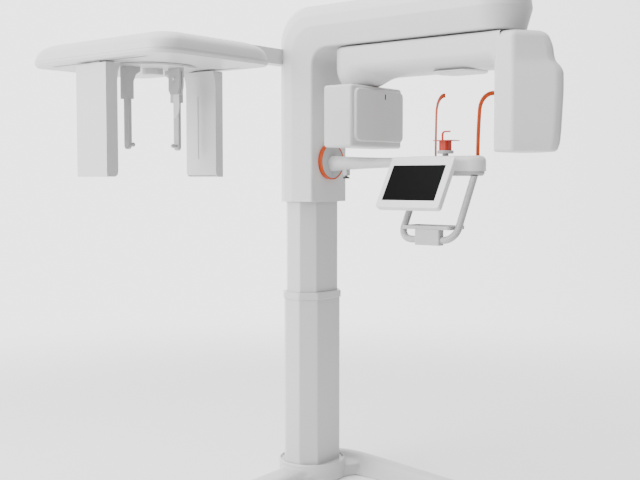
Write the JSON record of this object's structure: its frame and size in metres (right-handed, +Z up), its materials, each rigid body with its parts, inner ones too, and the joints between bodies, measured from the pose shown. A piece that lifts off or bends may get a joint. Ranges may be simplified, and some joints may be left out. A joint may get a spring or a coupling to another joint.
{
  "type": "panoramic x-ray machine",
  "caption": "Floor-standing dental panoramic x-ray machine: telescopic column, turning gantry, patient support with touch screen, and a side arm with a cephalometric unit.",
  "frame": {"origin": "on the floor, under the column's axis", "axes": "+Z up; the top arm and gantry reach forward along -Y; the cephalometric unit is on the -X side"},
  "size_m": [1.474, 1.437, 2.035],
  "materials": {
    "white_cover": "satin moulded cover",
    "white_paint": "satin powder coat",
    "grey_paint": "satin powder coat",
    "grey_plastic": "matt",
    "light_plastic": "satin",
    "orange": "gloss",
    "red_orange": "gloss",
    "display": "dark glass",
    "black_rubber": "matt",
    "dark_plastic": "matt",
    "nylon": "matt",
    "steel": "ground",
    "lead_steel": "matt",
    "tube_glass": "clear",
    "aluminium": "machined"
  },
  "bodies": {
    "stand": {"base_casting": "white_paint", "column_lower": "white_paint", "column_trim_ring": "white_paint", "column_bushing": "nylon", "lift_actuator_body": "aluminium", "lift_motor": "aluminium"},
    "lift": {"column_middle": "white_paint", "lift_rod": "steel", "carriage_cover": "white_cover", "arm_cover": "white_cover", "upper_frame": "aluminium", "support_ring": "orange", "support_hub_disc": "grey_paint", "support_arm": "white_paint", "support_head_cover": "white_cover", "support_head_pan": "grey_paint", "support_chassis": "aluminium", "screen_case": "light_plastic", "screen_display": "display", "screen_bracket": "grey_paint", "grip_handle": "grey_paint", "support_tray": "grey_plastic", "tray_pad": "black_rubber", "stop_box": "grey_paint", "ceph_arm": "white_paint", "ceph_cover_top": "white_cover", "ceph_cover_bottom": "white_cover", "ceph_chassis": "aluminium", "ceph_sensor_rail": "steel", "ceph_collimator_rail": "steel"},
    "stage": {"stage_plate": "aluminium", "gantry_bearing": "steel", "rotation_motor": "dark_plastic"},
    "gantry": {"gantry_cover": "white_cover", "gantry_beam": "aluminium", "xray_tank": "lead_steel", "xray_tube": "tube_glass", "collimator_box": "lead_steel", "sensor_cover": "white_cover", "sensor_neck": "white_cover", "laser_window": "display", "detector_module": "dark_plastic"},
    "chin_rest": {"chin_post": "grey_paint", "chin_block": "red_orange", "chin_plate": "red_orange", "bite_hook": "red_orange"},
    "temple_front": {"temple_support_front": "orange"},
    "temple_rear": {"temple_support_rear": "orange"},
    "stop_button": {"stop_button": "dark_plastic"},
    "ceph_sensor": {"ceph_sensor_panel": "white_cover", "ceph_sensor_trolley": "aluminium"},
    "ceph_collimator": {"ceph_collimator_panel": "white_cover", "ceph_collimator_trolley": "aluminium", "ceph_slit_plate": "lead_steel"},
    "ear_table": {"ear_turntable": "white_cover", "nasal_holder": "grey_plastic", "nasal_pin": "steel"},
    "ear_left": {"ear_arm_left": "grey_plastic"},
    "ear_right": {"ear_arm_right": "grey_plastic"},
    "nasal_blade": {"nasal_blade": "light_plastic"}
  },
  "joints": [
    {"name": "column_lift", "type": "slide", "parent": "stand", "child": "lift", "axis": [0, 0, 1], "range_m": [-0.38, 0.22]},
    {"name": "gantry_shift", "type": "slide", "parent": "lift", "child": "stage", "axis": [0, -1, 0], "range_m": [-0.012, 0.03]},
    {"name": "gantry_rotate", "type": "hinge", "parent": "stage", "child": "gantry", "pos_m": [0, -0.735, 1.865], "axis": [0, 0, 1], "range_deg": [-180, 180]},
    {"name": "chin_height", "type": "slide", "parent": "lift", "child": "chin_rest", "axis": [0, 0, 1], "range_m": [-0.004, 0.035]},
    {"name": "temple_front_slide", "type": "slide", "parent": "lift", "child": "temple_front", "axis": [0, -1, 0], "range_m": [-0.01, 0.005]},
    {"name": "temple_rear_slide", "type": "slide", "parent": "lift", "child": "temple_rear", "axis": [0, -1, 0], "range_m": [-0.005, 0.01]},
    {"name": "stop_press", "type": "slide", "parent": "lift", "child": "stop_button", "axis": [0, 0, 1], "range_m": [0, 0.0035], "stiffness_N_per_m": 900, "springref_m": -0.002},
    {"name": "ceph_sensor_scan", "type": "slide", "parent": "lift", "child": "ceph_sensor", "axis": [0, -1, 0], "range_m": [-0.2, 0.22]},
    {"name": "ceph_collimator_scan", "type": "slide", "parent": "lift", "child": "ceph_collimator", "axis": [0, -1, 0], "range_m": [-0.12, 0.132]},
    {"name": "ear_turn", "type": "hinge", "parent": "lift", "child": "ear_table", "pos_m": [-0.9975, -0.106, 1.69], "axis": [0, 0, 1], "range_deg": [-90, 90]},
    {"name": "ear_left_slide", "type": "slide", "parent": "ear_table", "child": "ear_left", "axis": [-1, 0, 0], "range_m": [-0.02, 0.014]},
    {"name": "ear_right_slide", "type": "slide", "parent": "ear_table", "child": "ear_right", "axis": [1, 0, 0], "range_m": [-0.02, 0.014]},
    {"name": "nasal_fold", "type": "hinge", "parent": "ear_table", "child": "nasal_blade", "pos_m": [-0.9675, -0.192, 1.655], "axis": [1, 0, 0], "range_deg": [-90, 5]}
  ],
  "couplings": [
    {"joint": "temple_rear_slide", "follows": "temple_front_slide", "ratio": -1},
    {"joint": "ceph_collimator_scan", "follows": "ceph_sensor_scan", "ratio": 0.6},
    {"joint": "ear_right_slide", "follows": "ear_left_slide", "ratio": 1}
  ]
}
